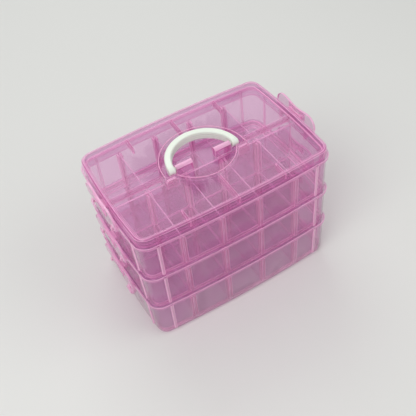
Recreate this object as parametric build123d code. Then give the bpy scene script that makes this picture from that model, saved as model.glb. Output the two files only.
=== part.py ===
from build123d import *
import os
from math import sqrt

# Craft organizer box: three equal nesting trays with removable dividers, a lid with a fold-down
# handle, and a snap latch on both ends of every tray. X runs along the box, Y from the front to
# the back, Z up, and the origin is the centre of the underside.

# Plan shape, shared by every layer and measured over the rims
length = 240.0
width = 162.0
side_bow = 4.4
end_bow = 3.3
corner_radius = 16.0
corner_rounds = 12

# Trays
levels = ("bottom", "middle", "top")
tray_pitch = 51.0
nest_depth = 8.0
seat_gap = 0.2
wall = 1.8
floor_thickness = 2.0
rim_height = 3.5
rim_overhang = 2.2
wall_draft = 1.0
nest_clearance = 0.6
bottom_bevel = 3.6
inner_bottom_bevel = 2.4

# Outer corner posts
post_width = 3.0
post_proud = 1.2
side_post_x = 96.0
end_post_y = 55.0

# Compartments
slot_count = 4
slot_pitch = 46.0
centre_wall_thickness = 2.2
partition_gap = 1.0
divider_thickness = 1.6
divider_play = 0.2
divider_end_gap = 0.3
divider_floor_gap = 0.3
guide_thickness = 2.0
guide_depth = 4.0
guide_drop = 2.0

# Latch hinge on the tray ends
hinge_drop = 9.0
hinge_reach = 1.6
pin_radius = 1.3
pin_play = 0.15
lug_thickness = 3.0
lug_radius = 2.8
lug_corner = 1.3
lug_web = 4.5
lug_side_gap = 0.3

# Latch plate
latch_gap = 1.2
latch_thickness = 1.8
latch_half_width = 35.0
neck_half_width = 22.0
neck_height = 4.9
shoulder_height = 13.0
lobe_y = 23.0
lobe_height = 25.0
dip_height = 22.0
pad_half_width = 14.5
pad_low = 1.0
pad_high = 11.0
pad_thickness = 1.0
window_y = 9.2
window_width = 4.5
window_height = 3.5
window_rise = 4.5

# Catch nose on the piece above, and the lip that closes over it
catch_half_width = 6.3
catch_low = 0.8
catch_rise = 6.0
catch_slope = 3.0
lip_half_width = 11.5
lip_height = 2.0
lip_clearance = 0.3

# Lid
lid_height = 19.0
lid_overhang = 2.8
lid_wall = 1.9
border_drop = 4.0
border_bevel = 1.7
border_inner_top = 6.3
border_inner_low = 8.3
deck_thickness = 2.0
lid_rib_thickness = 2.0
lid_rib_depth = 7.5
short_rib_x = 57.0
short_rib_length = 18.0

# Handle: a bow about half of a ring, which turns on two stubs in line with the box's middle
pivot_y = 0.0
bow_y = -3.5
handle_radius = 43.0
handle_width = 7.5
handle_height = 10.5
handle_bevel = 1.0
handle_sink = 0.2
stub_radius = 2.0
stub_length = 10.0
stub_play = 0.25

# Handle well in the lid: a round back, a shallower front, and a boss in front of each handle foot
well_radius = 49.5
well_step_y = -7.0
well_front_half_width = 40.0
well_front_reach = 32.0
well_depth = 10.0
well_wall = 2.0
boss_inner_x = 37.0
boss_outer_x = 51.5
boss_front_y = -14.0

# Bearing blocks for the handle's stubs
cradle_gap = 1.5
cradle_length = 20.0
cradle_width = 7.0
cradle_bevel = 2.0

# Worked-out levels and insets
tray_height = tray_pitch + nest_depth - seat_gap
rim_low = tray_height - rim_height
inner_inset_top = rim_overhang + wall
wall_inset_low = rim_overhang + wall_draft
inner_inset_low = wall_inset_low + wall
skirt_inset = inner_inset_top + nest_clearance
skirt_inner_inset = skirt_inset + wall
inner_ledge = nest_depth + wall
partition_top = tray_pitch - partition_gap
lid_base = len(levels) * tray_pitch
deck_top = lid_height - border_drop
hinge_z = tray_height - hinge_drop
hinge_x = length / 2 + hinge_reach
plate_x = length / 2 + latch_gap
lug_inner_y = neck_half_width + lug_side_gap
lug_outer_y = lug_inner_y + lug_thickness
well_floor = deck_top - well_depth
pivot_z = lid_height - handle_sink - handle_height / 2
bow_inner_radius = handle_radius - handle_width
arm_inner_x = sqrt(bow_inner_radius**2 - (pivot_y - bow_y) ** 2)
cradle_outer_x = arm_inner_x - cradle_gap
well_front_depth = well_front_reach + bow_y
well_front_radius = (well_front_half_width**2 + well_front_depth**2) / (2 * well_front_depth)


def bowed(reach, half_chord, bow, inset, along):
    """Distance of a bowed wall's inset line from the middle plane, at a place along the wall."""
    radius = (half_chord**2 + bow**2) / (2 * bow)
    return reach - radius + sqrt((radius - inset) ** 2 - along**2)


def side_y(x, inset):
    """Distance of a long wall's inset line from the middle plane, at x."""
    return bowed(width / 2, length / 2 - end_bow, side_bow, inset, x)


def end_x(y, inset):
    """Distance of an end wall's inset line from the middle plane, at y."""
    return bowed(length / 2, width / 2 - side_bow, end_bow, inset, y)


def outline(inset):
    """Plan face of the box, drawn in by the inset all the way round."""
    x = length / 2 - end_bow - inset
    for _ in range(corner_rounds):
        y = side_y(x, inset)
        x = end_x(y, inset)
    front = ThreePointArc((-x, -y), (0, inset - width / 2), (x, -y))
    right = ThreePointArc((x, -y), (length / 2 - inset, 0), (x, y))
    back = ThreePointArc((x, y), (0, width / 2 - inset), (-x, y))
    left = ThreePointArc((-x, y), (inset - length / 2, 0), (-x, -y))
    face = make_face([front, right, back, left])
    return fillet(face.vertices(), corner_radius - inset)


def prism(inset, low, high):
    """Straight block of the plan shape between two levels."""
    return extrude(Pos(0, 0, low) * outline(inset), high - low)


def drafted(inset_low, low, inset_high, high):
    """Block of the plan shape whose walls lean from one inset to another."""
    return loft([Pos(0, 0, low) * outline(inset_low), Pos(0, 0, high) * outline(inset_high)], ruled=True)


def block(x_low, x_high, y_low, y_high, z_low, z_high):
    """Box between two corners."""
    size = (x_high - x_low, y_high - y_low, z_high - z_low)
    return Pos(x_low, y_low, z_low) * Box(*size, align=(Align.MIN, Align.MIN, Align.MIN))


def bevelled_base(solid, leg):
    """The solid with the edge round its lowest face bevelled."""
    return chamfer(solid.faces().sort_by(Axis.Z)[0].edges(), leg)


def both_ends(solid):
    """The solid and its mirror image at the other end of the box."""
    return solid + mirror(solid, about=Plane.YZ)


def slot_places():
    """The x of each divider slot, from left to right."""
    return [(k - (slot_count - 1) / 2) * slot_pitch for k in range(slot_count)]


def tray_cavity(gap, floor_gap):
    """The room inside a tray, drawn in by a gap from its walls and its floor."""
    lower = prism(skirt_inner_inset + gap, floor_thickness + floor_gap, inner_ledge + wall)
    lower = bevelled_base(lower, inner_bottom_bevel)
    upper = drafted(inner_inset_low + gap, inner_ledge + gap, inner_inset_top + gap, tray_height)
    return lower + upper


def posts(low, high, reach):
    """Eight upright bars through the walls, two near each corner, with one depth inwards."""
    bars = Part()
    half = post_width / 2
    for side in (-1, 1):
        for x in (-side_post_x, side_post_x):
            near = side_y(x, reach) * side
            far = width / 2 * side
            bars += block(x - half, x + half, min(near, far), max(near, far), low, high)
        for y in (-end_post_y, end_post_y):
            near = (length / 2 - end_bow / 2 - reach) * side
            far = length / 2 * side
            bars += block(min(near, far), max(near, far), y - half, y + half, low, high)
    return bars


def end_profile(points, y_low, y_high):
    """Solid of an XZ outline at the right-hand end, between two y."""
    face = make_face(Polyline(*points, close=True))
    placed = Plane(origin=(0, y_low, 0), x_dir=(1, 0, 0), z_dir=(0, -1, 0)) * face
    return extrude(placed, -(y_high - y_low))


def along_y(radius, y_low, y_high, x, z):
    """Round bar along Y."""
    bar = Cylinder(radius, y_high - y_low, align=(Align.CENTER, Align.CENTER, Align.MIN))
    return Pos(x, y_low, z) * Rot(-90, 0, 0) * bar


def catch_nose(base_inset):
    """Wedge on the right-hand end wall, from the level of the seam below it."""
    root = length / 2 - base_inset - wall / 2
    low = nest_depth + catch_low
    top = nest_depth + catch_rise
    tip = length / 2
    points = [(root, low), (length / 2 - base_inset, low), (tip, low + catch_slope), (tip, top), (root, top)]
    return end_profile(points, -catch_half_width, catch_half_width)


def hinge_lugs():
    """Two bearing lugs of a latch on the right-hand end of a tray."""
    root = length / 2 - rim_overhang - wall / 2
    lugs = Part()
    web = [
        (root, hinge_z + lug_radius),
        (hinge_x + lug_corner, hinge_z + lug_radius),
        (hinge_x + lug_radius, hinge_z + lug_corner),
        (hinge_x + lug_radius, hinge_z - lug_corner),
        (hinge_x + lug_corner, hinge_z - lug_radius),
        (root, hinge_z - lug_radius - lug_web),
    ]
    for side in (-1, 1):
        y_low = min(side * lug_inner_y, side * lug_outer_y)
        lugs += end_profile(web, y_low, y_low + lug_thickness)
    eye = along_y(pin_radius + pin_play, -lug_outer_y, lug_outer_y, hinge_x, hinge_z)
    return lugs - eye


def divider_guides():
    """Pairs of ribs that hold the dividers, on the long walls and on the centre wall."""
    ribs = Part()
    top = partition_top - guide_drop
    low = floor_thickness / 2
    half_gap = divider_thickness / 2 + divider_play
    centre = centre_wall_thickness / 2 + guide_depth
    for x in slot_places():
        for near in (x - half_gap - guide_thickness, x + half_gap):
            far = near + guide_thickness
            ribs += block(near, far, -centre, centre, low, top)
            inner = side_y(near + guide_thickness / 2, inner_inset_low) - guide_depth
            outer = side_y(near + guide_thickness / 2, inner_inset_low - wall / 2)
            ribs += block(near, far, inner, outer, low, top)
            ribs += block(near, far, -outer, -inner, low, top)
    return ribs


def tray():
    """One tray, standing on z = 0."""
    skirt = bevelled_base(prism(skirt_inset, 0, nest_depth), bottom_bevel)
    shell = skirt + drafted(wall_inset_low, nest_depth, rim_overhang, rim_low)
    proud = drafted(wall_inset_low - post_proud, nest_depth, rim_overhang - post_proud, rim_low)
    shell += posts(nest_depth, rim_low, rim_overhang + wall) & proud
    shell += prism(0, rim_low, tray_height)
    shell += both_ends(catch_nose(wall_inset_low) + hinge_lugs())
    shell -= tray_cavity(0, 0)
    half = centre_wall_thickness / 2
    reach = length / 2 - inner_inset_top - wall / 2
    centre_wall = block(-reach, reach, -half, half, floor_thickness / 2, partition_top)
    inside = (centre_wall + divider_guides()) & (tray_cavity(-wall / 2, -floor_thickness / 2))
    return shell + inside


def divider(x, side):
    """One loose partition in its slot, on one side of the centre wall."""
    half = divider_thickness / 2
    near = centre_wall_thickness / 2 + divider_end_gap
    y_low, y_high = sorted((side * near, side * width / 2))
    sheet = block(x - half, x + half, y_low, y_high, 0, partition_top)
    return sheet & tray_cavity(divider_end_gap, divider_floor_gap)


def latch_face():
    """Outline of the latch plate, with its height measured from the hinge axis."""
    middle = (lobe_y / 2, (lobe_height + dip_height) / 2)
    edge = Line((0, 0), (neck_half_width, 0))
    edge += Line((neck_half_width, 0), (neck_half_width, neck_height))
    edge += Line((neck_half_width, neck_height), (latch_half_width, neck_height))
    edge += Line((latch_half_width, neck_height), (latch_half_width, shoulder_height))
    edge += TangentArc((latch_half_width, shoulder_height), (lobe_y, lobe_height), tangent=(0, 1))
    edge += TangentArc((lobe_y, lobe_height), middle, tangent=(-1, 0))
    edge += TangentArc((0, dip_height), middle, tangent=(1, 0))
    edge += Line((0, dip_height), (0, 0))
    half = make_face(edge)
    return half + mirror(half, about=Plane.YZ)


def latch():
    """The latch of the right-hand end of a tray that stands on z = 0."""
    back = Plane(origin=(plate_x, 0, hinge_z), x_dir=(0, 1, 0), z_dir=(1, 0, 0))
    plate = extrude(back * latch_face(), latch_thickness)
    front = back.offset(latch_thickness)
    rim_line = hinge_drop
    pad = Pos(0, rim_line + (pad_low + pad_high) / 2) * Rectangle(2 * pad_half_width, pad_high - pad_low)
    plate += extrude(front * pad, pad_thickness)
    for side in (-1, 1):
        hole = Pos(side * window_y, rim_line + window_rise) * Rectangle(window_width, window_height)
        plate -= extrude(back * hole, latch_thickness + pad_thickness)
    lip_low = tray_height + catch_rise + lip_clearance
    tip = length / 2 + lip_clearance
    root = plate_x + latch_thickness / 2
    lip = [(tip, lip_low), (root, lip_low), (root, lip_low + lip_height), (tip, lip_low + lip_height / 2)]
    plate += end_profile(lip, -lip_half_width, lip_half_width)
    return plate + along_y(pin_radius, -lug_outer_y, lug_outer_y, hinge_x, hinge_z)


def well_face(grow):
    """Outline of the handle well: a round back cut straight at the handle's feet, and a front lobe."""
    reach = 3 * well_radius
    back = Pos(0, bow_y) * Circle(well_radius + grow)
    back &= Pos(0, well_step_y - grow) * Rectangle(reach, reach, align=(Align.CENTER, Align.MIN))
    front = Pos(0, well_front_radius - well_front_reach) * Circle(well_front_radius + grow)
    front &= Rectangle(reach, reach, align=(Align.CENTER, Align.MAX))
    return back + front


def boss():
    """Block in front of the right-hand foot of the handle, open underneath."""
    low = well_floor - deck_thickness
    solid = block(boss_inner_x, boss_outer_x, boss_front_y, well_step_y, low, deck_top)
    inner = block(
        boss_inner_x + well_wall,
        boss_outer_x - well_wall,
        boss_front_y + well_wall,
        well_step_y - well_wall,
        low,
        deck_top - deck_thickness,
    )
    return solid - inner


def lid():
    """The lid in its own frame, with its lowest edge on z = 0."""
    outer = prism(skirt_inset, 0, nest_depth)
    upper = prism(lid_overhang, nest_depth, lid_height)
    upper = chamfer(upper.faces().sort_by(Axis.Z)[-1].edges(), border_bevel)
    outer += upper
    outer -= drafted(border_inner_low, deck_top, border_inner_top, lid_height)
    room_top = deck_top - deck_thickness
    room = prism(skirt_inner_inset, 0, inner_ledge)
    room += prism(lid_overhang + lid_wall, inner_ledge, room_top)
    lean = (border_inner_low - border_inner_top) / border_drop
    channel_low = border_inner_low + lean * deck_thickness - lid_wall
    channel_top = lid_height - deck_thickness
    channel = prism(lid_overhang + lid_wall, room_top, channel_top)
    channel -= drafted(channel_low, room_top, channel_low - lean * (channel_top - room_top), channel_top)
    room += channel
    shell = outer - room
    pan = extrude(Pos(0, 0, well_floor - deck_thickness) * well_face(well_wall), well_depth + deck_thickness)
    half = lid_rib_thickness / 2
    rib_low = room_top - lid_rib_depth
    ribs = block(-length / 2, length / 2, -half, half, rib_low, room_top)
    ribs += block(-half, half, -width / 2, width / 2, rib_low, room_top)
    for x in (-short_rib_x, short_rib_x):
        for side in (-1, 1):
            near = side * (side_y(x, skirt_inner_inset) - short_rib_length)
            y_low, y_high = sorted((near, side * width / 2))
            ribs += block(x - half, x + half, y_low, y_high, rib_low, room_top)
    shell += pan + both_ends(boss()) + (ribs & prism(skirt_inset + wall / 2, 0, room_top))
    shell -= extrude(Pos(0, 0, well_floor) * well_face(0), well_depth + border_drop)
    shell += both_ends(catch_nose(lid_overhang))
    return shell + both_ends(cradle())


def cradle():
    """Bearing block for the handle's right-hand stub, on the floor of the well."""
    x_low = cradle_outer_x - cradle_length
    half = cradle_width / 2
    body = block(x_low, cradle_outer_x, pivot_y - half, pivot_y + half, well_floor, pivot_z + half)
    body = chamfer(body.faces().sort_by(Axis.Z)[-1].edges().filter_by(Axis.X), cradle_bevel)
    bore = Cylinder(stub_radius + stub_play, stub_length, align=(Align.CENTER, Align.CENTER, Align.MAX))
    return body - Pos(cradle_outer_x, pivot_y, pivot_z) * Rot(0, 90, 0) * bore


def handle():
    """The folded handle, in the frame of the lid."""
    low = pivot_z - handle_height / 2
    ring = extrude(Pos(0, bow_y, low) * (Circle(handle_radius) - Circle(bow_inner_radius)), handle_height)
    ring = chamfer(ring.edges().filter_by(GeomType.CIRCLE), handle_bevel)
    axis = Pos(0, pivot_y, pivot_z) * Rot(0, 90, 0)
    feet = axis * Cylinder(handle_height / 2, 2 * handle_radius)
    behind = block(-handle_radius, handle_radius, pivot_y, handle_radius, low, low + handle_height)
    bow = ring & (feet + behind)
    root = arm_inner_x + handle_width / 2
    tip = cradle_outer_x - stub_length + stub_play
    stub = axis * Cylinder(stub_radius, root - tip)
    for side in (-1, 1):
        bow += Pos(side * (root + tip) / 2, 0, 0) * stub
    return bow


def save(shape, name):
    """Write one piece to its own file."""
    export_step(shape, "parts/" + name + ".step")


os.makedirs("parts", exist_ok=True)
one_tray = tray()
right_latch = latch()
left_latch = mirror(right_latch, about=Plane.YZ)
dividers = {
    row + "_" + str(k + 1): divider(x, side)
    for row, side in (("front", -1), ("back", 1))
    for k, x in enumerate(slot_places())
}
for level, name in enumerate(levels):
    place = Pos(0, 0, level * tray_pitch)
    save(place * one_tray, "tray_" + name)
    save(place * left_latch, "latch_" + name + "_left")
    save(place * right_latch, "latch_" + name + "_right")
    for spot, sheet in dividers.items():
        save(place * sheet, "divider_" + name + "_" + spot)
top_place = Pos(0, 0, lid_base)
save(top_place * lid(), "lid")
save(top_place * handle(), "handle")
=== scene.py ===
"""Craft organizer box: three nesting trays, loose dividers, end latches and a lid with a fold-down handle."""

import logging
import math
from dataclasses import dataclass, field
from enum import Enum, IntEnum

import bmesh
import bpy
from mathutils import Matrix, Vector


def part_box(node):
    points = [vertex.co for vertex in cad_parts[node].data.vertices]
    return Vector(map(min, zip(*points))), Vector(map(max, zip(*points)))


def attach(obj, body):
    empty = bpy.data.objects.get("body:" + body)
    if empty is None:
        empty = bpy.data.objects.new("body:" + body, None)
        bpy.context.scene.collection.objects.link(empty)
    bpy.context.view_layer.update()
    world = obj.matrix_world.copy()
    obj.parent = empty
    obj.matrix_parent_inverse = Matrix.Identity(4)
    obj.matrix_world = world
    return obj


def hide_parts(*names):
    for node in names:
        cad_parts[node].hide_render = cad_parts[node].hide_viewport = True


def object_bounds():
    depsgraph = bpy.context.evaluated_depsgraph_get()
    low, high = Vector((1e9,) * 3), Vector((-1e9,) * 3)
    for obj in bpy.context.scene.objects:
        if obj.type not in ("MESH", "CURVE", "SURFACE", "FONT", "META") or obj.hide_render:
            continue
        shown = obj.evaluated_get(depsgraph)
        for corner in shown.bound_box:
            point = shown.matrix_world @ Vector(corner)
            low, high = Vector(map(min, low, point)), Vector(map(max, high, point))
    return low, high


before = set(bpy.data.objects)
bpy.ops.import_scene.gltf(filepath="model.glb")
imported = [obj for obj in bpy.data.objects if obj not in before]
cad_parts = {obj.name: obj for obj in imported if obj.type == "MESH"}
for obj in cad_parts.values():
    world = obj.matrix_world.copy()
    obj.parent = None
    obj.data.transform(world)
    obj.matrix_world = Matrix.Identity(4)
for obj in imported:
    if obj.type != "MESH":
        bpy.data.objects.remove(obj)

CAD_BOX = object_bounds()
LOG = logging.getLogger("craft_box")
MM = 0.001
# Corners nearer than this are one corner, and faces that turn by less than this are one flat face.
WELD_MM = 0.002
FLAT_DEG = 0.6


def linear(hex_colour: str) -> tuple[float, float, float, float]:
    """Turn an sRGB hex colour into linear light.

    Args:
        hex_colour: Six hex digits, with or without a leading hash.

    Returns:
        Red, green, blue and an alpha of 1.
    """
    digits = hex_colour.lstrip("#")
    srgb = [int(digits[i : i + 2], 16) / 255 for i in (0, 2, 4)]
    light = [c / 12.92 if c <= 0.04045 else ((c + 0.055) / 1.055) ** 2.4 for c in srgb]
    return (light[0], light[1], light[2], 1.0)


def add_node(tree: bpy.types.NodeTree, kind: str, inputs: dict | None = None, **settings) -> bpy.types.Node:
    """Add one node with its settings, input values and links.

    Args:
        tree: The node tree that gets it.
        kind: The node's Blender type name.
        inputs: Input name or index to a value, or to the output socket that feeds it.
        settings: Properties of the node itself.

    Returns:
        The new node.
    """
    node = tree.nodes.new(kind)
    for name, value in settings.items():
        setattr(node, name, value)
    for key, value in (inputs or {}).items():
        if isinstance(value, bpy.types.NodeSocket):
            tree.links.new(value, node.inputs[key])
        else:
            node.inputs[key].default_value = value
    return node


def new_material(name: str) -> tuple[bpy.types.Material, bpy.types.NodeTree, bpy.types.Node]:
    """Make an empty node material.

    Args:
        name: The finish's common name.

    Returns:
        The material, its tree and its output node.
    """
    material = bpy.data.materials.new(name)
    material.use_nodes = True
    tree = material.node_tree
    tree.nodes.clear()
    return material, tree, add_node(tree, "ShaderNodeOutputMaterial")


def maths(
    tree: bpy.types.NodeTree, operation: str, first: object, second: object = 0.0
) -> bpy.types.NodeSocket:
    """Join two values, or sockets, by one operation of arithmetic.

    Args:
        tree: The node tree.
        operation: The Math node's operation.
        first: A number or a socket.
        second: A number or a socket.

    Returns:
        The result's socket.
    """
    return add_node(tree, "ShaderNodeMath", {0: first, 1: second}, operation=operation).outputs[0]


def new_group(name: str, inputs: dict[str, str]) -> tuple[bpy.types.NodeTree, bpy.types.Node, bpy.types.Node]:
    """Make an empty Geometry Nodes group with named inputs.

    Args:
        name: The group's name.
        inputs: Each input's name and its socket type without the NodeSocket prefix.

    Returns:
        The group, its input node and its output node.
    """
    tree = bpy.data.node_groups.new(name, "GeometryNodeTree")
    tree.interface.new_socket("Geometry", in_out="INPUT", socket_type="NodeSocketGeometry")
    for label, kind in inputs.items():
        tree.interface.new_socket(label, in_out="INPUT", socket_type="NodeSocket" + kind)
    tree.interface.new_socket("Geometry", in_out="OUTPUT", socket_type="NodeSocketGeometry")
    return tree, add_node(tree, "NodeGroupInput"), add_node(tree, "NodeGroupOutput")


def bake(piece: bpy.types.Object) -> None:
    """Turn a piece's modifiers into its plain mesh.

    Args:
        piece: The piece, changed in place.
    """
    graph = bpy.context.evaluated_depsgraph_get()
    done = bpy.data.meshes.new_from_object(piece.evaluated_get(graph))
    done.name = piece.data.name
    piece.modifiers.clear()
    piece.data = done


def run_group(piece: bpy.types.Object, tree: bpy.types.NodeTree, values: dict[str, object]) -> None:
    """Run a group on a piece with the given inputs and keep the result as its plain mesh.

    Args:
        piece: The piece, changed in place.
        tree: The group.
        values: Each named input's value.
    """
    modifier = piece.modifiers.new(tree.name, "NODES")
    modifier.node_group = tree
    for item in tree.interface.items_tree:
        if item.in_out == "INPUT" and item.name in values:
            modifier[item.identifier] = values[item.name]
    bake(piece)


def finish_group(
    tree: bpy.types.NodeTree,
    shape: bpy.types.NodeSocket,
    material: bpy.types.NodeSocket,
    result: bpy.types.Node,
) -> None:
    """End a group with real meshes, smooth shading and a material.

    Args:
        tree: The group.
        shape: The geometry so far.
        material: The group's material input.
        result: The group's output node.
    """
    real = add_node(tree, "GeometryNodeRealizeInstances", {0: shape}).outputs[0]
    smooth = add_node(tree, "GeometryNodeSetShadeSmooth", {"Geometry": real}).outputs[0]
    dressed = add_node(tree, "GeometryNodeSetMaterial", {"Geometry": smooth, "Material": material}).outputs[0]
    tree.links.new(dressed, result.inputs[0])


def welded_shape(node: str) -> bmesh.types.BMesh:
    """Open a node's mesh with its doubled corners joined and its flat faces whole.

    A flat face that bends round a hole or a corner is cut into convex ones, because the easing of its
    edges would otherwise leave a skin across the hole.

    Args:
        node: The frame's node.

    Returns:
        The mesh, open for changes.
    """
    shape = bmesh.new()
    shape.from_mesh(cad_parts[node].data)
    bmesh.ops.remove_doubles(shape, verts=shape.verts, dist=WELD_MM * MM)
    bmesh.ops.dissolve_limit(
        shape,
        angle_limit=math.radians(FLAT_DEG),
        use_dissolve_boundaries=False,
        verts=shape.verts,
        edges=shape.edges,
        delimit=set(),
    )
    bmesh.ops.connect_verts_concave(shape, faces=shape.faces[:])
    return shape


def welded_copy(node: str, name: str) -> bpy.types.Mesh:
    """Copy a node's mesh with its doubled corners joined.

    Args:
        node: The frame's node.
        name: The new mesh's name.

    Returns:
        The copy.
    """
    shape = welded_shape(node)
    mesh = bpy.data.meshes.new(name)
    shape.to_mesh(mesh)
    shape.free()
    return mesh


def new_piece(name: str, mesh: bpy.types.Mesh) -> bpy.types.Object:
    """Put a mesh into the scene as an object at the origin.

    Args:
        name: The object's name.
        mesh: Its mesh.

    Returns:
        The object.
    """
    piece = bpy.data.objects.new(name, mesh)
    bpy.context.scene.collection.objects.link(piece)
    return piece


@dataclass(frozen=True)
class TintedPlastic:
    """Clear polypropylene dyed in the mass: a pane that tints what is behind it and scatters a little light.

    The share that scatters grows with the way that sight takes through the pane, which makes the walls
    paler and denser where they are seen nearly edge on.
    """

    name: str
    scatter: str
    tint: str
    cover: float
    roughness: float = 0.16
    through: float = 0.3
    flow_mm: float = 9.0
    flow_detail: float = 2.0
    flow_roughness: float = 0.45
    ripple_mm: float = 0.05
    ripple_strength: float = 0.6
    patchiness: float = 0.2
    grazing_floor: float = 0.16
    mirror_at_normal: float = 0.04
    mirror_falloff: float = 5.0

    def build(self) -> bpy.types.Material:
        """Build the material.

        Returns:
            The finished material.
        """
        material, tree, output = new_material(self.name)
        place = add_node(tree, "ShaderNodeTexCoord").outputs["Object"]
        flow = add_node(
            tree,
            "ShaderNodeTexNoise",
            {
                "Vector": place,
                "Scale": 1 / (self.flow_mm * MM),
                "Detail": self.flow_detail,
                "Roughness": self.flow_roughness,
            },
        ).outputs["Fac"]
        bump = add_node(
            tree,
            "ShaderNodeBump",
            {"Height": flow, "Distance": self.ripple_mm * MM, "Strength": self.ripple_strength},
        ).outputs["Normal"]
        facing = add_node(tree, "ShaderNodeLayerWeight", {"Blend": 0.5}).outputs["Facing"]
        upright = maths(tree, "MAXIMUM", maths(tree, "SUBTRACT", 1.0, facing), self.grazing_floor)
        way = maths(tree, "DIVIDE", 1.0, upright)
        thin, thick = (self.cover * (1 + side * self.patchiness) for side in (-1, 1))
        patchy = add_node(
            tree, "ShaderNodeMapRange", {"Value": flow, "To Min": thin, "To Max": thick}
        ).outputs[0]
        clear = maths(tree, "POWER", maths(tree, "SUBTRACT", 1.0, patchy), way)
        solid = maths(tree, "SUBTRACT", 1.0, clear)
        pane = add_node(tree, "ShaderNodeBsdfTransparent", {"Color": linear(self.tint)}).outputs[0]
        front = add_node(tree, "ShaderNodeBsdfDiffuse", {"Color": linear(self.scatter)}).outputs[0]
        back = add_node(tree, "ShaderNodeBsdfTranslucent", {"Color": linear(self.scatter)}).outputs[0]
        haze = add_node(tree, "ShaderNodeMixShader", {0: self.through, 1: front, 2: back}).outputs[0]
        body = add_node(tree, "ShaderNodeMixShader", {0: solid, 1: pane, 2: haze}).outputs[0]
        grazing = maths(tree, "POWER", facing, self.mirror_falloff)
        rise = maths(tree, "MULTIPLY", grazing, 1 - self.mirror_at_normal)
        inside = add_node(tree, "ShaderNodeNewGeometry").outputs["Backfacing"]
        outside = maths(tree, "SUBTRACT", 1.0, inside)
        mirror = maths(tree, "MULTIPLY", maths(tree, "ADD", rise, self.mirror_at_normal), outside)
        gloss = add_node(
            tree,
            "ShaderNodeBsdfGlossy",
            {"Color": (1, 1, 1, 1), "Roughness": self.roughness, "Normal": bump},
        ).outputs[0]
        skin = add_node(tree, "ShaderNodeMixShader", {0: mirror, 1: body, 2: gloss}).outputs[0]
        tree.links.new(skin, output.inputs["Surface"])
        return material


@dataclass(frozen=True)
class SolidPlastic:
    """Opaque moulded polypropylene: soft sheen, and a fine moulded grain that breaks up its highlights."""

    name: str
    colour: str
    shade: str
    smoothest: float = 0.29
    roughest: float = 0.4
    refraction: float = 1.49
    glow: float = 0.15
    glow_reach_m: tuple[float, float, float] = (0.004, 0.004, 0.003)
    grain_mm: float = 0.6
    grain_depth_mm: float = 0.012
    grain_detail: float = 1.0
    grain_strength: float = 0.5
    cloud_mm: float = 22.0
    cloud_detail: float = 3.0

    def build(self) -> bpy.types.Material:
        """Build the material.

        Returns:
            The finished material.
        """
        material, tree, output = new_material(self.name)
        place = add_node(tree, "ShaderNodeTexCoord").outputs["Object"]
        cloud = add_node(
            tree,
            "ShaderNodeTexNoise",
            {"Vector": place, "Scale": 1 / (self.cloud_mm * MM), "Detail": self.cloud_detail},
        ).outputs["Fac"]
        colour = add_node(
            tree,
            "ShaderNodeMix",
            {"Factor": cloud, "A": linear(self.colour), "B": linear(self.shade)},
            data_type="RGBA",
        )
        grain = add_node(
            tree,
            "ShaderNodeTexNoise",
            {"Vector": place, "Scale": 1 / (self.grain_mm * MM), "Detail": self.grain_detail},
        ).outputs["Fac"]
        bump = add_node(
            tree,
            "ShaderNodeBump",
            {"Height": grain, "Distance": self.grain_depth_mm * MM, "Strength": self.grain_strength},
        ).outputs["Normal"]
        rough = add_node(
            tree,
            "ShaderNodeMapRange",
            {"Value": cloud, "To Min": self.smoothest, "To Max": self.roughest},
        ).outputs[0]
        skin = add_node(
            tree,
            "ShaderNodeBsdfPrincipled",
            {
                "Base Color": colour.outputs["Result"],
                "Roughness": rough,
                "IOR": self.refraction,
                "Subsurface Weight": self.glow,
                "Subsurface Radius": self.glow_reach_m,
                "Subsurface Scale": 1.0,
                "Normal": bump,
            },
        ).outputs[0]
        tree.links.new(skin, output.inputs["Surface"])
        return material


@dataclass(frozen=True)
class MattBoard:
    """Painted studio board: a pale even ground with hardly any sheen, which takes the box's soft shadow."""

    name: str
    colour: str
    roughness: float = 0.8
    sheen: float = 0.2

    def build(self) -> bpy.types.Material:
        """Build the material.

        Returns:
            The finished material.
        """
        material, tree, output = new_material(self.name)
        skin = add_node(
            tree,
            "ShaderNodeBsdfPrincipled",
            {
                "Base Color": linear(self.colour),
                "Roughness": self.roughness,
                "Specular IOR Level": self.sheen,
            },
        )
        tree.links.new(skin.outputs[0], output.inputs["Surface"])
        return material


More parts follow.
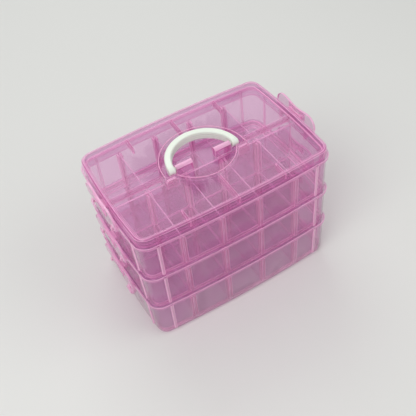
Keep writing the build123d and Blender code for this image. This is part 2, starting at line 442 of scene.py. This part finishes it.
class Finish(Enum):
    """The finishes of the box, each by its place on the moulding."""

    # Clear pink polypropylene in walls of 2 mm: a glassy tint with a faint milkiness, deeper with each layer.
    TRAY_SHEET = TintedPlastic("tray polypropylene sheet", "#D094BE", "#FBF0F9", 0.06)
    # The same in narrow ribs and rims, where light runs along the plastic: milky pink bands.
    TRAY_RIB = TintedPlastic("tray polypropylene rib", "#F7C0DF", "#FCF2FA", 0.34)
    # The same at moulded edges, where the light leaves the plastic: the pale lines round every form.
    TRAY_EDGE = TintedPlastic("tray polypropylene edge", "#FED0EB", "#FCF2FA", 0.74)
    # Lid and latches: as the trays' sheet, a little clearer, so the compartments show through.
    LID_SHEET = TintedPlastic("lid polypropylene sheet", "#D094BE", "#FBF0F9", 0.05)
    # The lid's ribs and blocks: a stronger pink than the trays' ribs, painted shade for where they stand
    # under the clear deck.
    LID_RIB = TintedPlastic("lid polypropylene rib", "#E384C1", "#FAECF7", 0.26)
    # The lid's and latches' edges: pale lines along the border and round the windows, painted highlight for
    # the light that gathers at the edges.
    LID_EDGE = TintedPlastic("lid polypropylene edge", "#FDC6E7", "#FCF2FA", 0.7)
    # Dividers of 1.6 mm in a lighter tint: nearly clear panels.
    DIVIDER_SHEET = TintedPlastic("divider polypropylene sheet", "#DDB0D0", "#FCF5FB", 0.04)
    # The dividers' cut edges: thin whitish lines across the compartments, painted highlight for the light
    # that gathers at the cut edges.
    DIVIDER_EDGE = TintedPlastic("divider polypropylene edge", "#F8D2E8", "#FCF4FA", 0.5)
    # The thick edge bead of a latch: the palest pink, because most light gathers in it.
    BEAD = TintedPlastic("latch polypropylene bead", "#F8D0E8", "#FCF2FA", 0.6)
    # Opaque white polypropylene with a satin mould grain: a soft, slightly greenish white, widely lit.
    HANDLE = SolidPlastic("handle white polypropylene", "#E2E9DE", "#DAE2D6")
    # The ground: a light, even grey without shine.
    FLOOR = MattBoard("pale studio board", "#D9DAD7")


class Zone(IntEnum):
    """The zones of a moulding, which are also the places of its materials."""

    SHEET = 0
    RIB = 1
    EDGE = 2


class FinishShelf:
    """Builds each finish once and hands it out."""

    def __init__(self) -> None:
        """Start with nothing built."""
        self.built: dict[Finish, bpy.types.Material] = {}

    def get(self, finish: Finish) -> bpy.types.Material:
        """Give the material of a finish.

        Args:
            finish: Which finish.

        Returns:
            Its material.
        """
        if finish not in self.built:
            self.built[finish] = finish.value.build()
        return self.built[finish]


@dataclass
class Moulding:
    """One moulded piece: the frame's solid with its sharp edges eased and its thin parts dressed apart.

    Moulded plastic has no sharp edges, and dyed clear plastic is brightest where it is seen along a
    sheet, so faces are sorted by how wide their stretch of smooth surface is; the narrow ones take paler
    finishes, painted light for that brightness.
    """

    node: str
    body: str
    slot: str
    sheet: Finish
    rib: Finish
    edge: Finish
    rib_width_mm: float = 9.0
    ring_width_mm: float = 3.0
    ring_reach: float = 0.8
    edge_width_mm: float = 2.7
    ease_mm: float = 0.4
    ease_segments: int = 2
    ease_limited: bool = False
    crease_deg: float = 22.0

    def build(self, shelf: FinishShelf) -> bpy.types.Object:
        """Build the piece and put it in the place of its frame node.

        Args:
            shelf: Where the materials come from.

        Returns:
            The piece.
        """
        mesh = self.eased_mesh()
        for finish in (self.sheet, self.rib, self.edge):
            mesh.materials.append(shelf.get(finish))
        piece = new_piece(self.node + "_moulding", mesh)
        self.ease(piece)
        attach(piece, self.body)
        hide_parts(self.node)
        return piece

    def eased_mesh(self) -> bpy.types.Mesh:
        """Copy the node's mesh with flat faces joined and each face sorted by width.

        Returns:
            The new mesh.
        """
        shape = welded_shape(self.node)
        for stretch in self.stretches(shape):
            zone = self.zone(stretch)
            for face in stretch:
                face.material_index = zone
                face.smooth = True
        mesh = bpy.data.meshes.new(self.node + "_moulding")
        shape.to_mesh(mesh)
        shape.free()
        mesh.set_sharp_from_angle(angle=math.radians(self.crease_deg))
        return mesh

    def stretches(self, shape: bmesh.types.BMesh) -> list[list[bmesh.types.BMFace]]:
        """Group the faces that run smoothly into each other.

        Args:
            shape: The mesh.

        Returns:
            The groups.
        """
        limit = math.radians(self.crease_deg)
        left = set(shape.faces)
        groups = []
        for seed in shape.faces:
            if seed not in left:
                continue
            left.discard(seed)
            group, queue = [seed], [seed]
            while queue:
                face = queue.pop()
                for edge in face.edges:
                    if len(edge.link_faces) != 2 or edge.calc_face_angle(math.pi) > limit:
                        continue
                    for other in edge.link_faces:
                        if other in left:
                            left.discard(other)
                            group.append(other)
                            queue.append(other)
            groups.append(group)
        return groups

    def zone(self, stretch: list[bmesh.types.BMFace]) -> Zone:
        """Choose the zone of a stretch by its width, which is twice its area over its outline.

        A stretch that runs right round the box is a wall rather than a rib.

        Args:
            stretch: Faces that run smoothly into each other.

        Returns:
            The zone.
        """
        faces = set(stretch)
        rim = [edge for face in stretch for edge in face.edges if not faces.issuperset(edge.link_faces)]
        outline = sum(edge.calc_length() for edge in rim)
        width = 2 * sum(face.calc_area() for face in stretch) / max(outline, MM)
        if self.runs_round(stretch):
            return Zone.RIB if width < self.ring_width_mm * MM else Zone.SHEET
        if width < self.edge_width_mm * MM:
            return Zone.EDGE
        return Zone.RIB if width < self.rib_width_mm * MM else Zone.SHEET

    def runs_round(self, stretch: list[bmesh.types.BMFace]) -> bool:
        """Tell whether a stretch reaches nearly as far as its piece, along X and along Y.

        Args:
            stretch: Faces that run smoothly into each other.

        Returns:
            True for a ring round the box.
        """
        low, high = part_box(self.node)
        places = [vert.co for face in stretch for vert in face.verts]
        for axis in (0, 1):
            reach = max(p[axis] for p in places) - min(p[axis] for p in places)
            if reach < self.ring_reach * (high[axis] - low[axis]):
                return False
        return True

    def ease(self, piece: bpy.types.Object) -> None:
        """Round the sharp edges slightly and keep the result as a plain mesh.

        Args:
            piece: The piece, changed in place.
        """
        bevel = piece.modifiers.new("ease", "BEVEL")
        bevel.width = self.ease_mm * MM
        bevel.segments = self.ease_segments
        bevel.limit_method = "ANGLE"
        bevel.angle_limit = math.radians(self.crease_deg)
        bevel.use_clamp_overlap = self.ease_limited
        bevel.harden_normals = True
        # The eased edges take the pale edge finish: a painted highlight along every eased edge.
        bevel.material = Zone.EDGE
        bake(piece)


@dataclass
class LatchBead:
    """The pale raised bead along the wavy top edge of a latch, drawn along the frame's own plate."""

    radius_mm: float = 0.55
    sink_mm: float = 0.55
    plate_out_mm: float = 2.7
    shoulder_drop_mm: float = 12.0
    least_turn_rad: float = 0.5
    tolerance_mm: float = 0.05
    resolution: int = 10

    def group(self) -> bpy.types.NodeTree:
        """Build the group that lays a round bar along the convex edges of a plate's outer face.

        Returns:
            The group.
        """
        inputs = {"Plane X": "Float", "Low Z": "Float", "Tolerance": "Float", "Least Turn": "Float"}
        inputs |= {"Radius": "Float", "Sink": "Float", "Resolution": "Int", "Material": "Material"}
        tree, given, result = new_group("edge bead", inputs)
        out = given.outputs
        turn = add_node(tree, "GeometryNodeInputMeshEdgeAngle").outputs["Signed Angle"]
        place = add_node(tree, "GeometryNodeInputPosition").outputs[0]
        x, _, z = add_node(tree, "ShaderNodeSeparateXYZ", {0: place}).outputs
        off = maths(tree, "ABSOLUTE", maths(tree, "SUBTRACT", maths(tree, "ABSOLUTE", x), out["Plane X"]))
        chosen = maths(tree, "LESS_THAN", off, out["Tolerance"])
        chosen = maths(tree, "MULTIPLY", chosen, maths(tree, "GREATER_THAN", z, out["Low Z"]))
        chosen = maths(tree, "MULTIPLY", chosen, maths(tree, "GREATER_THAN", turn, out["Least Turn"]))
        line = add_node(tree, "GeometryNodeMeshToCurve", {"Mesh": out["Geometry"], "Selection": chosen})
        down = add_node(tree, "ShaderNodeCombineXYZ", {"Z": maths(tree, "MULTIPLY", out["Sink"], -1.0)})
        line = add_node(
            tree, "GeometryNodeSetPosition", {"Geometry": line.outputs[0], "Offset": down.outputs[0]}
        )
        ring = add_node(
            tree,
            "GeometryNodeCurvePrimitiveCircle",
            {"Resolution": out["Resolution"], "Radius": out["Radius"]},
        )
        bar = add_node(
            tree,
            "GeometryNodeCurveToMesh",
            {"Curve": line.outputs[0], "Profile Curve": ring.outputs[0], "Fill Caps": True},
        )
        finish_group(tree, bar.outputs[0], out["Material"], result)
        return tree

    def build(self, tree: bpy.types.NodeTree, node: str, shelf: FinishShelf) -> bpy.types.Object:
        """Build the bead of one latch.

        Args:
            tree: The group.
            node: The latch's node, which is also its body.
            shelf: Where the materials come from.

        Returns:
            The bead.
        """
        low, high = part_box(node)
        piece = new_piece(node + "_bead", welded_copy(node, node + "_bead"))
        inner_x = min(abs(low.x), abs(high.x))
        values = {
            "Plane X": inner_x + self.plate_out_mm * MM,
            "Low Z": high.z - self.shoulder_drop_mm * MM,
            "Tolerance": self.tolerance_mm * MM,
            "Least Turn": self.least_turn_rad,
            "Radius": self.radius_mm * MM,
            "Sink": self.sink_mm * MM,
            "Resolution": self.resolution,
            "Material": shelf.get(Finish.BEAD),
        }
        run_group(piece, tree, values)
        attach(piece, node)
        return piece


@dataclass
class RaisedArc:
    """Round beads along an arc, stacked over each other and half sunk into the moulding under them."""

    name: str
    body: str
    slot: str
    finish: Finish
    bead_mm: float
    start_deg: float
    sweep_deg: float
    count: int = 1
    pitch_mm: float = 0.0
    resolution: int = 96
    ring_resolution: int = 8

    @staticmethod
    def group() -> bpy.types.NodeTree:
        """Build the group that stacks beads along an arc.

        Returns:
            The group.
        """
        inputs = {"Count": "Int", "Pitch": "Float", "Bead Radius": "Float", "Arc Radius": "Float"}
        inputs |= {"Start Angle": "Float", "Sweep Angle": "Float", "Centre": "Vector", "Resolution": "Int"}
        inputs |= {"Ring Resolution": "Int", "Material": "Material"}
        tree, given, result = new_group("raised arc", inputs)
        out = given.outputs
        arc = add_node(
            tree,
            "GeometryNodeCurveArc",
            {
                "Resolution": out["Resolution"],
                "Radius": out["Arc Radius"],
                "Start Angle": out["Start Angle"],
                "Sweep Angle": out["Sweep Angle"],
            },
        )
        ring = add_node(
            tree,
            "GeometryNodeCurvePrimitiveCircle",
            {"Resolution": out["Ring Resolution"], "Radius": out["Bead Radius"]},
        )
        bar = add_node(
            tree,
            "GeometryNodeCurveToMesh",
            {"Curve": arc.outputs[0], "Profile Curve": ring.outputs[0], "Fill Caps": True},
        )
        step = add_node(tree, "ShaderNodeCombineXYZ", {"Z": out["Pitch"]}).outputs[0]
        levels = add_node(
            tree,
            "GeometryNodeMeshLine",
            {"Count": out["Count"], "Start Location": out["Centre"], "Offset": step},
        )
        copies = add_node(
            tree, "GeometryNodeInstanceOnPoints", {"Points": levels.outputs[0], "Instance": bar.outputs[0]}
        )
        finish_group(tree, copies.outputs[0], out["Material"], result)
        return tree

    def build(
        self, tree: bpy.types.NodeTree, centre: Vector, radius: float, shelf: FinishShelf
    ) -> bpy.types.Object:
        """Build the beads.

        Args:
            tree: The group.
            centre: The middle of the lowest bead's arc, in metres.
            radius: The arc's radius, in metres.
            shelf: Where the materials come from.

        Returns:
            The beads, as one piece.
        """
        piece = new_piece(self.name, bpy.data.meshes.new(self.name))
        values = {
            "Count": self.count,
            "Pitch": self.pitch_mm * MM,
            "Bead Radius": self.bead_mm * MM,
            "Arc Radius": radius,
            "Start Angle": math.radians(self.start_deg),
            "Sweep Angle": math.radians(self.sweep_deg),
            "Centre": centre,
            "Resolution": self.resolution,
            "Ring Resolution": self.ring_resolution,
            "Material": shelf.get(self.finish),
        }
        run_group(piece, tree, values)
        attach(piece, self.body)
        return piece


@dataclass
class TrayStack:
    """The three trays with their latches and dividers."""

    levels: tuple[str, ...] = ("bottom", "middle", "top")
    ends: tuple[str, ...] = ("left", "right")
    bodies: dict[str, str] = field(
        default_factory=lambda: {"bottom": "base", "middle": "middle_tray", "top": "top_tray"}
    )

    def build(self, shelf: FinishShelf) -> None:
        """Build every tray with what hangs on it.

        Args:
            shelf: Where the materials come from.
        """
        bead = LatchBead()
        bead_group = bead.group()
        for level in self.levels:
            body = self.bodies[level]
            tray = Moulding(
                "tray_" + level, body, "tray_plastic", Finish.TRAY_SHEET, Finish.TRAY_RIB, Finish.TRAY_EDGE
            ).build(shelf)
            report(tray)
            for end in self.ends:
                node = f"latch_{level}_{end}"
                latch = Moulding(
                    node,
                    node,
                    "latch_plastic",
                    Finish.LID_SHEET,
                    Finish.LID_RIB,
                    Finish.LID_EDGE,
                    ease_mm=0.25,
                    ease_limited=True,
                ).build(shelf)
                report(latch)
                report(bead.build(bead_group, node, shelf))
            for row in ("front", "back"):
                for k in range(4):
                    node = f"divider_{level}_{row}_{k + 1}"
                    report(
                        Moulding(
                            node,
                            body,
                            "divider_plastic",
                            Finish.DIVIDER_SHEET,
                            Finish.DIVIDER_EDGE,
                            Finish.DIVIDER_EDGE,
                            ease_mm=0.3,
                        ).build(shelf)
                    )


@dataclass
class Lid:
    """The lid and the handle folded into it, with the well's raised rim and the handle's grip lines."""

    bow_width_mm: float = 7.5
    deck_drop_mm: float = 4.0
    well_radius_mm: float = 49.5
    well_front_radius_mm: float = 42.32
    well_front_reach_mm: float = 32.0

    def build(self, shelf: FinishShelf) -> None:
        """Build the lid and the handle.

        Args:
            shelf: Where the materials come from.
        """
        report(
            Moulding(
                "lid",
                "lid",
                "lid_plastic",
                Finish.LID_SHEET,
                Finish.LID_RIB,
                Finish.LID_EDGE,
                rib_width_mm=7.3,
                ring_width_mm=2.6,
                ease_mm=0.35,
            ).build(shelf)
        )
        report(
            Moulding(
                "handle",
                "handle",
                "handle_plastic",
                Finish.HANDLE,
                Finish.HANDLE,
                Finish.HANDLE,
                ease_mm=0.2,
            ).build(shelf)
        )
        self.trim(shelf)

    def trim(self, shelf: FinishShelf) -> None:
        """Lay the beads round the well and inside the handle's bow.

        Args:
            shelf: Where the materials come from.
        """
        arcs = RaisedArc.group()
        low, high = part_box("handle")
        bow_y = high.y - high.x
        lines = RaisedArc(
            "handle_grip_lines",
            "handle",
            "handle_plastic",
            Finish.HANDLE,
            bead_mm=0.45,
            start_deg=16.0,
            sweep_deg=148.0,
            count=3,
            pitch_mm=2.5,
        )
        stack = (lines.count - 1) * lines.pitch_mm * MM
        centre = Vector((0, bow_y, (low.z + high.z - stack) / 2))
        report(lines.build(arcs, centre, high.x - self.bow_width_mm * MM, shelf))
        # The well's edge is a thin raised bead in the pale edge finish; its paleness is a painted highlight
        # line along the edge.
        deck_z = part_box("lid")[1].z - self.deck_drop_mm * MM
        back = RaisedArc(
            "lid_well_rim_back",
            "lid",
            "lid_plastic",
            Finish.LID_EDGE,
            bead_mm=0.5,
            start_deg=-4.0,
            sweep_deg=188.0,
        )
        report(back.build(arcs, Vector((0, bow_y, deck_z)), self.well_radius_mm * MM, shelf))
        front_y = (self.well_front_radius_mm - self.well_front_reach_mm) * MM
        front = RaisedArc(
            "lid_well_rim_front",
            "lid",
            "lid_plastic",
            Finish.LID_EDGE,
            bead_mm=0.5,
            start_deg=209.0,
            sweep_deg=122.0,
        )
        report(front.build(arcs, Vector((0, front_y, deck_z)), self.well_front_radius_mm * MM, shelf))


@dataclass(frozen=True)
class SoftLamp:
    """One square soft lamp that faces the box."""

    name: str
    place_m: tuple[float, float, float]
    size_m: float
    power_w: float

    def build(self, aim_m: Vector) -> None:
        """Hang the lamp.

        Args:
            aim_m: The place that it faces.
        """
        data = bpy.data.lights.new(self.name, "AREA")
        data.size = self.size_m
        data.energy = self.power_w
        lamp = bpy.data.objects.new(self.name, data)
        bpy.context.scene.collection.objects.link(lamp)
        lamp.location = self.place_m
        lamp.rotation_euler = (aim_m - Vector(self.place_m)).to_track_quat("-Z", "Y").to_euler()


@dataclass
class Studio:
    """Pale floor, soft lamps, and a camera at the photograph's angle."""

    azimuth_deg: float = -25.092
    elevation_deg: float = 47.800
    roll_deg: float = -7.475
    distance_mm: float = 780.64
    aim_mm: tuple[float, float, float] = (-0.571, 2.726, 80.0)
    lens_mm: float = 57.41
    sensor_mm: float = 36.0
    floor_half_m: float = 3.0
    room_light: float = 0.45
    lamp_aim_m: tuple[float, float, float] = (0, 0, 0.09)
    clear_layers: int = 96
    lamps: tuple[SoftLamp, ...] = (
        SoftLamp("key lamp", (-0.9, -0.5, 1.3), 0.9, 12.0),
        SoftLamp("fill lamp", (0.9, -0.8, 1.1), 1.1, 6.0),
        SoftLamp("back lamp", (0.2, 1.1, 1.2), 1.0, 7.0),
    )

    def build(self, shelf: FinishShelf) -> None:
        """Build the floor, the lamps, the world and the camera.

        Args:
            shelf: Where the materials come from.
        """
        self.floor(shelf)
        self.world()
        for lamp in self.lamps:
            lamp.build(Vector(self.lamp_aim_m))
        self.camera()
        bpy.context.scene.view_settings.view_transform = "Standard"
        # Sight passes through dozens of clear walls, and each counts twice.
        bpy.context.scene.cycles.transparent_max_bounces = self.clear_layers

    def floor(self, shelf: FinishShelf) -> None:
        """Lay the pale floor at the box's underside.

        Args:
            shelf: Where the materials come from.
        """
        mesh = bpy.data.meshes.new("floor")
        h = self.floor_half_m
        low = CAD_BOX[0][2]
        mesh.from_pydata([(-h, -h, low), (h, -h, low), (h, h, low), (-h, h, low)], [], [(0, 1, 2, 3)])
        mesh.materials.append(shelf.get(Finish.FLOOR))
        new_piece("floor", mesh)

    def world(self) -> None:
        """Give the room an even, soft light."""
        world = bpy.data.worlds.new("studio")
        bpy.context.scene.world = world
        world.use_nodes = True
        tree = world.node_tree
        tree.nodes.clear()
        light = add_node(tree, "ShaderNodeBackground", {"Color": (1, 1, 1, 1), "Strength": self.room_light})
        output = add_node(tree, "ShaderNodeOutputWorld")
        tree.links.new(light.outputs[0], output.inputs["Surface"])

    def camera(self) -> None:
        """Stand the camera where the photograph was taken from."""
        az, el, roll = (math.radians(v) for v in (self.azimuth_deg, self.elevation_deg, self.roll_deg))
        back = Vector((math.sin(az) * math.cos(el), -math.cos(az) * math.cos(el), math.sin(el)))
        level = Vector((math.cos(az), math.sin(az), 0))
        above = back.cross(level)
        right = math.cos(roll) * level + math.sin(roll) * above
        up = math.cos(roll) * above - math.sin(roll) * level
        data = bpy.data.cameras.new("camera")
        data.lens = self.lens_mm
        data.sensor_width = self.sensor_mm
        camera = bpy.data.objects.new("camera", data)
        bpy.context.scene.collection.objects.link(camera)
        place = (Vector(self.aim_mm) + self.distance_mm * back) * MM
        turn = Matrix((right, up, back)).transposed().to_4x4()
        camera.matrix_world = Matrix.Translation(place) @ turn
        bpy.context.scene.camera = camera


def report(piece: bpy.types.Object) -> None:
    """Log a finished piece.

    Args:
        piece: The piece.
    """
    LOG.info("%s: %d faces", piece.name, len(piece.data.polygons))


def main() -> None:
    """Build the box and its studio."""
    logging.basicConfig(level=logging.INFO)
    shelf = FinishShelf()
    TrayStack().build(shelf)
    Lid().build(shelf)
    Studio().build(shelf)


if __name__ == "__main__":
    main()
